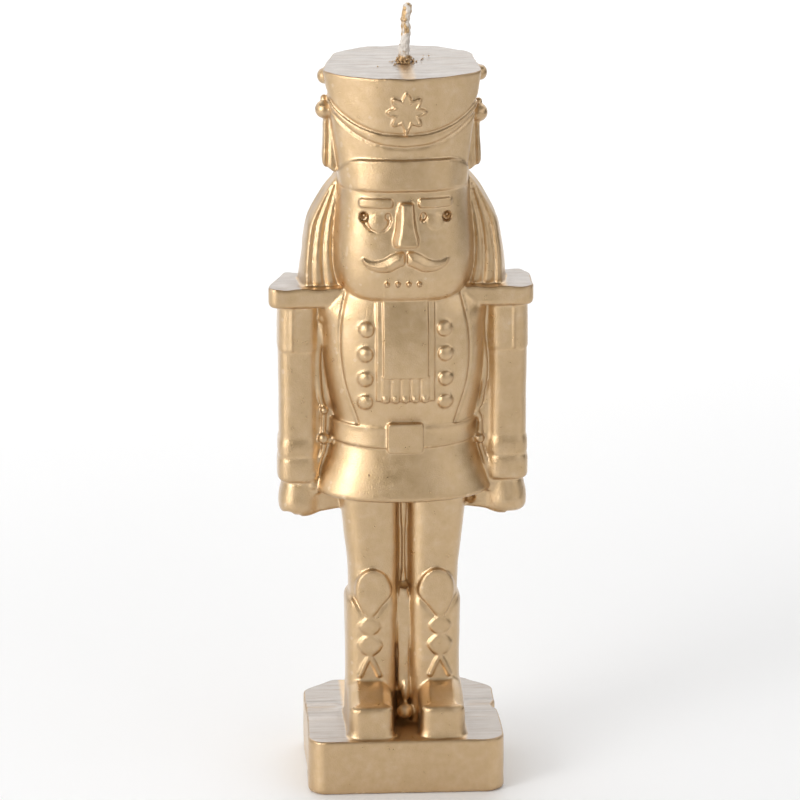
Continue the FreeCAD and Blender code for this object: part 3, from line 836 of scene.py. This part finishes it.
def add_crumbs(points, faces):
    """Broken flakes of gilt wax, heaped round the wick's foot and strewn a little to both sides."""
    draw = np.random.default_rng(23)
    seed = bmesh.new()
    bmesh.ops.create_icosphere(seed, subdivisions=1, radius=1.0)
    shape = np.array([v.co[:] for v in seed.verts])
    sides = [tuple(v.index for v in f.verts) for f in seed.faces]
    seed.free()
    for i in range(CRUMBS):
        turn, heap = draw.uniform(0.0, 2 * math.pi), i < HEAPED
        reach = draw.uniform(0.8, 2.0) if heap else 1.5 + draw.exponential(0.8)
        size = draw.uniform(0.16, 0.40) if heap else draw.uniform(0.08, 0.24)
        lift = draw.uniform(0.0, 2.1) * (2.1 - reach) / 1.3 if heap else 0.05
        flake = shape * draw.uniform(0.55, 1.1, (len(shape), 1)) * size * draw.uniform(0.6, 1.3, (1, 3))
        spread = 1.0 if heap else 1.5
        centre = (0.5 + reach * math.cos(turn) * spread, reach * math.sin(turn), HAT_TOP + 0.1 + lift)
        first = len(points)
        points += [tuple(p * MM) for p in flake + np.array(centre)]
        faces += [tuple(first + v for v in side) for side in sides]


def make_wick_mesh():
    """A plaited cotton wick: one tube whose surface carries crossing strands."""
    tip = float(low_high("wick")[1][2])
    path = curved([(0.0, 0.0, 4.0), (0.0, 0.0, 80.0), (0.1, 0.0, 157.0), (0.55, -0.1, 161.0),
                   (0.6, -0.1, 164.0), (0.85, 0.0, 167.0), (0.7, 0.0, 169.5), (1.05, 0.1, 171.2),
                   (1.2, 0.1, tip)], False, 60)
    path = [p for i, p in enumerate(path) if p[2] > 155.0 or i % 20 == 0]
    points, faces = [], []
    for row, p in enumerate(path):
        z = p[2]
        thin = 1.0 - 0.12 * bump((z - 168.9) / 0.7) - 0.45 * step_up((z - tip + 0.9) / 0.9) ** 2
        for k in range(AROUND):
            turn = 2 * math.pi * k / AROUND
            plait = abs(math.sin(2 * turn + z * 1.9)) * abs(math.sin(2 * turn - z * 1.9))
            r = WICK_RADIUS * thin * (0.93 + 0.13 * plait + 0.015 * math.sin(9 * turn + 5 * z))
            points.append(((p[0] + r * math.cos(turn)) * MM, (p[1] + r * math.sin(turn)) * MM, z * MM))
        if row:
            a = (row - 1) * AROUND
            for k in range(AROUND):
                b = (k + 1) % AROUND
                faces.append((a + k, a + b, a + AROUND + b, a + AROUND + k))
    faces.append(tuple(range(AROUND - 1, -1, -1)))
    faces.append(tuple(range(len(points) - AROUND, len(points))))
    add_crumbs(points, faces)
    mesh = bpy.data.meshes.new("wick")
    mesh.from_pydata(points, [], faces)
    mesh.polygons.foreach_set("use_smooth", np.ones(len(faces), dtype=bool))
    mesh.update()
    return mesh


# ---- materials
class Nodes:
    """Shorthand for building one material's node tree."""

    def __init__(self, name):
        self.material = bpy.data.materials.new(name)
        self.material.use_nodes = True
        self.tree = self.material.node_tree
        self.shader = self.tree.nodes["Principled BSDF"]

    def add(self, kind, **inputs):
        """A node with the given inputs; in their names _ stands for a space."""
        node = self.tree.nodes.new(kind)
        for key, value in inputs.items():
            self.set(node, key, value)
        return node

    def set(self, node, key, value):
        """Link or set one input; a key such as _0 is its number."""
        socket = node.inputs[int(key[1:]) if key[0] == "_" else key.replace("_", " ")]
        if isinstance(value, bpy.types.NodeSocket):
            self.tree.links.new(value, socket)
        else:
            socket.default_value = value

    def noise(self, where, scale, detail=3.0, rough=0.55):
        node = self.add("ShaderNodeTexNoise", Vector=where, Scale=scale, Detail=detail, Roughness=rough)
        return node.outputs["Fac"]

    def ramp(self, value, stops):
        node = self.add("ShaderNodeValToRGB", Fac=value)
        elements = node.color_ramp.elements
        while len(elements) < len(stops):
            elements.new(0.5)
        for element, (at, colour) in zip(elements, stops):
            element.position = at
            element.color = (*colour, 1.0) if len(colour) == 3 else colour
        return node.outputs["Color"]

    def grey(self, value, low, high, to_low=0.0, to_high=1.0):
        """The value remapped from low..high to 0..1, or to the range given."""
        node = self.add("ShaderNodeMapRange", Value=value, From_Min=low, From_Max=high, To_Min=to_low,
                        To_Max=to_high)
        return node.outputs["Result"]

    def maths(self, operation, a, b=0.0):
        node = self.add("ShaderNodeMath", _0=a, _1=b)
        node.operation = operation
        return node.outputs[0]

    def mix(self, factor, a, b):
        """Colour a where the factor is 0, b where it is 1."""
        node = self.tree.nodes.new("ShaderNodeMix")
        node.data_type = "RGBA"
        for key, value in (("_0", factor), ("_6", a), ("_7", b)):
            self.set(node, key, value)
        return node.outputs[2]

    def bump(self, height, distance, strength=1.0, normal=None):
        """The normal with relief this many metres deep on it."""
        node = self.add("ShaderNodeBump", Height=height, Distance=distance, Strength=strength)
        if normal is not None:
            self.set(node, "Normal", normal)
        return node.outputs["Normal"]

    def stretched(self, where, scale):
        return self.add("ShaderNodeMapping", Vector=where, Scale=scale).outputs["Vector"]

    def times(self, a, b):
        return self.maths("MULTIPLY", a, b)

    def surface(self, **inputs):
        """The finished material, with these inputs of its shader linked or set."""
        for key, value in inputs.items():
            self.set(self.shader, key, value)
        return self.material


def trimmed(n, x, z):
    """Where the casting was trimmed flat: hat top, outer ends of the boards, plinth beside the boots."""
    out = n.maths("ABSOLUTE", x)

    def level(height):
        """1 in a thin layer round this height."""
        above = n.grey(z, (height - 1.0) * MM, (height - 0.7) * MM)
        return n.times(above, n.grey(z, (height + 1.8) * MM, (height + 1.5) * MM))

    boards = n.times(level(COAT_TOP), n.grey(out, 22.0 * MM, 22.8 * MM))
    plinth_top = n.times(level(PLINTH_TOP), n.grey(out, 12.6 * MM, 13.4 * MM))
    return n.maths("MAXIMUM", level(HAT_TOP), n.maths("MAXIMUM", boards, plinth_top))


GOLD, GOLD_DULL, GOLD_PALE = (0.66, 0.465, 0.26), (0.60, 0.41, 0.21), (0.71, 0.53, 0.325)
# The dark brown second colour on the next line is painted shade, laid into creases and hollows.
CLOUDED, PAINTED_CREASE_SHADE = (0.62, 0.425, 0.225, 1.0), (0.36, 0.21, 0.09, 1.0)
WORN, TORN = (0.80, 0.66, 0.48, 1.0), (0.36, 0.25, 0.16, 1.0)
BARE_STOPS = [(0.28, (0.29, 0.22, 0.17)), (0.40, (0.38, 0.33, 0.29)), (0.55, (0.43, 0.39, 0.36)),
              (0.75, (0.50, 0.47, 0.445))]
VARNISH_WEIGHT, VARNISH_IOR, VARNISH_ROUGHNESS = 0.5, 1.8, 0.24
GRAIN_DEPTH, MOTTLE_DEPTH, SCRATCH_DEPTH = 0.0001, 0.00005, 0.00012      # metres
SMEAR_X = 0.6


def lacquer_with_crease_shade(n, where, mottle, geometry):
    """The lacquer's colour: mottled and clouded and a little worn on edges, with painted shade darkening it
    in creases.
    """
    tone = n.ramp(mottle, [(0.30, GOLD_DULL), (0.55, GOLD), (0.78, GOLD_PALE)])
    cloud = n.noise(where, 70.0, 3.0, 0.5)
    tone = n.mix(n.grey(cloud, 0.35, 0.65, 0.0, 0.35), tone, CLOUDED)
    # Painted shade: where Pointiness is low (creases, grooves, joins), the tone is pulled towards the dark
    # crease colour.
    crease = n.grey(geometry["Pointiness"], 0.44, 0.5, 1.0, 0.0)
    tone = n.mix(n.times(crease, 0.7), tone, PAINTED_CREASE_SHADE)
    edge = n.grey(geometry["Pointiness"], 0.515, 0.58)
    return n.mix(n.times(edge, 0.3), tone, WORN)


def smeared(n, at):
    """Where gold was dragged from the wick's foot to the hat's front edge."""
    aside = n.maths("ABSOLUTE", n.maths("SUBTRACT", at["X"], SMEAR_X * MM))
    smear = n.times(n.grey(aside, 1.9 * MM, 0.9 * MM), n.grey(at["Y"], 1.0 * MM, -1.0 * MM))
    return n.times(smear, n.grey(at["Z"], (HAT_TOP - 2.0) * MM, (HAT_TOP - 1.0) * MM))


def gold_lacquer():
    """Champagne gold lacquer: satin metal with a fine grain, bare and scratched where it was trimmed."""
    n = Nodes("gold_lacquer")
    where = n.add("ShaderNodeTexCoord").outputs["Object"]
    at = n.add("ShaderNodeSeparateXYZ", Vector=where).outputs
    geometry = n.add("ShaderNodeNewGeometry").outputs
    upward = n.add("ShaderNodeSeparateXYZ", Vector=geometry["Normal"]).outputs["Z"]
    grain = n.noise(where, 3000.0, 3.0, 0.65)
    mottle = n.noise(where, 420.0, 4.0, 0.6)
    scratch = n.noise(n.stretched(where, (70.0, 700.0, 400.0)), 1.0, 4.0, 0.6)

    flat = trimmed(n, at["X"], at["Z"])
    cut = n.times(n.grey(upward, 0.90, 0.975), flat)
    cut = n.times(cut, n.maths("SUBTRACT", 1.0, n.times(smeared(n, at), 0.75)))
    rim = n.times(n.grey(upward, 0.45, 0.70), n.grey(upward, 0.975, 0.90))
    ragged = n.times(n.times(rim, flat), n.grey(mottle, 0.40, 0.52))
    tone = n.mix(n.times(ragged, 0.75), lacquer_with_crease_shade(n, where, mottle, geometry), TORN)
    tone = n.mix(n.times(cut, 0.9), tone, n.ramp(scratch, BARE_STOPS))
    metal = n.grey(cut, 0.0, 1.0, 1.0, 0.45)
    rough = n.maths("ADD", n.grey(mottle, 0.3, 0.75, 0.27, 0.40), n.grey(cut, 0.0, 1.0, 0.0, 0.08))
    relief = n.bump(mottle, MOTTLE_DEPTH, 0.4, n.bump(grain, GRAIN_DEPTH, 0.9))
    relief = n.bump(n.times(scratch, cut), SCRATCH_DEPTH, 0.35, relief)
    return n.surface(Base_Color=tone, Metallic=metal, Roughness=rough, Normal=relief,
                     Coat_Weight=VARNISH_WEIGHT, Coat_IOR=VARNISH_IOR, Coat_Roughness=VARNISH_ROUGHNESS)


CREAM_STOPS = [(0.3, (0.62, 0.54, 0.46)), (0.6, (0.86, 0.80, 0.73))]
GILT_STOPS = [(0.3, (0.34, 0.20, 0.09)), (0.55, (0.66, 0.44, 0.22)), (0.8, (0.92, 0.72, 0.42))]
FIBRE_DEPTH = 0.0001


def wick_cotton():
    """Waxed cotton plait: cream near the hat, streaked with gold paint above, gilt crumbs at the foot."""
    n = Nodes("wick_cotton")
    where = n.add("ShaderNodeTexCoord").outputs["Object"]
    height = n.add("ShaderNodeSeparateXYZ", Vector=where).outputs["Z"]
    blotch = n.noise(where, 900.0, 3.0, 0.6)
    fibre = n.noise(n.stretched(where, (5000.0, 5000.0, 1400.0)), 1.0, 3.0, 0.7)
    streak = n.noise(n.stretched(where, (900.0, 900.0, 160.0)), 1.0, 2.0, 0.5)
    cream, gilt = n.ramp(fibre, CREAM_STOPS), n.ramp(fibre, GILT_STOPS)
    level = n.maths("ADD", height, n.grey(blotch, 0.3, 0.7, -0.0009, 0.0009))
    above = n.grey(level, (HAT_TOP + 5.9) * MM, (HAT_TOP + 6.9) * MM)
    painted = n.times(above, n.grey(streak, 0.37, 0.46))
    foot = n.grey(level, (HAT_TOP + 2.3) * MM, (HAT_TOP + 1.5) * MM)
    gilded = n.maths("MAXIMUM", painted, foot)
    return n.surface(Base_Color=n.mix(gilded, cream, gilt), Metallic=n.times(gilded, 0.8), Sheen_Weight=0.15,
                     Roughness=n.grey(fibre, 0.3, 0.7, 0.35, 0.6), Normal=n.bump(fibre, FIBRE_DEPTH, 0.7))


# ---- studio
def floor_paper():
    """Plain white paper."""
    n = Nodes("floor_paper")
    where = n.add("ShaderNodeTexCoord").outputs["Object"]
    whites = [(0.3, (0.93, 0.93, 0.93)), (0.7, (0.95, 0.95, 0.95))]
    return n.surface(Base_Color=n.ramp(n.noise(where, 3.0), whites), Roughness=0.6)


FLOOR_SIZE = 12.0
WORLD_COLOUR, WORLD_STRENGTH = (1.0, 0.98, 0.96, 1.0), 0.06
MIDDLE = (0.0, 0.0, 0.09)           # of the figure, where most lamps point
# name, azimuth, elevation, distance, (width, height), radiance and, for some, a target of their own
LAMPS = [
    ("key_left", -48.0, 19.0, 1.0, (1.05, 0.75), 1.2),
    ("key_core", -50.0, 17.0, 0.97, (0.36, 0.62), 5.3),
    ("side_left", -95.0, 21.0, 1.0, (0.73, 0.75), 0.95),
    ("back_left", -148.0, 21.0, 1.0, (1.1, 0.75), 1.15),
    ("back_right", 152.0, 21.0, 1.0, (1.1, 0.75), 1.1),
    ("side_right", 95.0, 30.0, 1.0, (0.73, 0.4), 0.8),
    ("fill_right", 40.0, 19.0, 1.0, (1.15, 0.75), 0.88),
    ("floor_right", 40.0, 89.0, 0.25, (0.3, 0.25), 0.5, (0.21, -0.12, 0.0)),
    ("top", 180.0, 78.0, 1.0, (1.3, 1.0), 0.48),
    ("floor_left", -40.0, 89.0, 0.25, (0.3, 0.2), 0.5, (-0.21, -0.16, 0.0)),
    ("behind", 180.0, 89.0, 0.6, (0.9, 0.7), 1.15, (0.0, 0.6, 0.0)),
]


def softbox(name, azimuth, elevation, distance, size, radiance, target=MIDDLE):
    """A rectangular lamp that faces the target; azimuth 0 is in front of the soldier, 90 on its left."""
    turn, rise = math.radians(azimuth), math.radians(elevation)
    data = bpy.data.lights.new(name, "AREA")
    data.shape = "RECTANGLE"
    data.size, data.size_y = size
    data.energy = radiance * math.pi * size[0] * size[1]
    light = bpy.data.objects.new(name, data)
    bpy.context.scene.collection.objects.link(light)
    aim = Vector(target)
    out = Vector((math.sin(turn) * math.cos(rise), -math.cos(turn) * math.cos(rise), math.sin(rise)))
    light.location = aim + out * distance
    light.rotation_euler = (-out).to_track_quat("-Z", "Y").to_euler()


def build_studio():
    """A white floor, a faint world and the softboxes."""
    scene = bpy.context.scene
    bpy.ops.mesh.primitive_plane_add(size=FLOOR_SIZE)
    floor = bpy.context.object
    floor.name = "floor"
    floor.data.materials.append(floor_paper())

    world = bpy.data.worlds.new("studio")
    world.use_nodes = True
    background = world.node_tree.nodes["Background"]
    background.inputs["Color"].default_value = WORLD_COLOUR
    background.inputs["Strength"].default_value = WORLD_STRENGTH
    scene.world = world

    for lamp in LAMPS:
        softbox(*lamp)
    scene.view_settings.view_transform = "Standard"


CAMERA_DISTANCE, CAMERA_RISE, CAMERA_TURN = 1.5, 17.0, 3.5      # metres, degrees up, degrees to the side
CAMERA_PIVOT, CAMERA_AIM = (0.0, 0.0, 0.080), (-0.00044, 0.0, 0.0839)
SENSOR, LENS = 36.0, 308.35


def build_camera():
    """A long lens, a little above the figure and a little to its right."""
    rise, turn = math.radians(CAMERA_RISE), math.radians(CAMERA_TURN)
    out = Vector((-math.sin(turn) * math.cos(rise), -math.cos(turn) * math.cos(rise), math.sin(rise)))
    data = bpy.data.cameras.new("camera")
    data.sensor_width, data.lens = SENSOR, LENS
    data.clip_start, data.clip_end = 0.05, 50.0
    camera = bpy.data.objects.new("camera", data)
    bpy.context.scene.collection.objects.link(camera)
    camera.location = Vector(CAMERA_PIVOT) + out * CAMERA_DISTANCE
    camera.rotation_euler = (Vector(CAMERA_AIM) - camera.location).to_track_quat("-Z", "Y").to_euler()
    bpy.context.scene.camera = camera


# ---- assembly
gold = gold_lacquer()
for node, (_, _, share) in REGIONS.items():
    add_piece(node, mesh_from(node, *sculpt(node, share)), gold, "gold_lacquer_wax", node)
add_piece("wick", make_wick_mesh(), wick_cotton(), "wick_cotton", "wick")
build_studio()
build_camera()
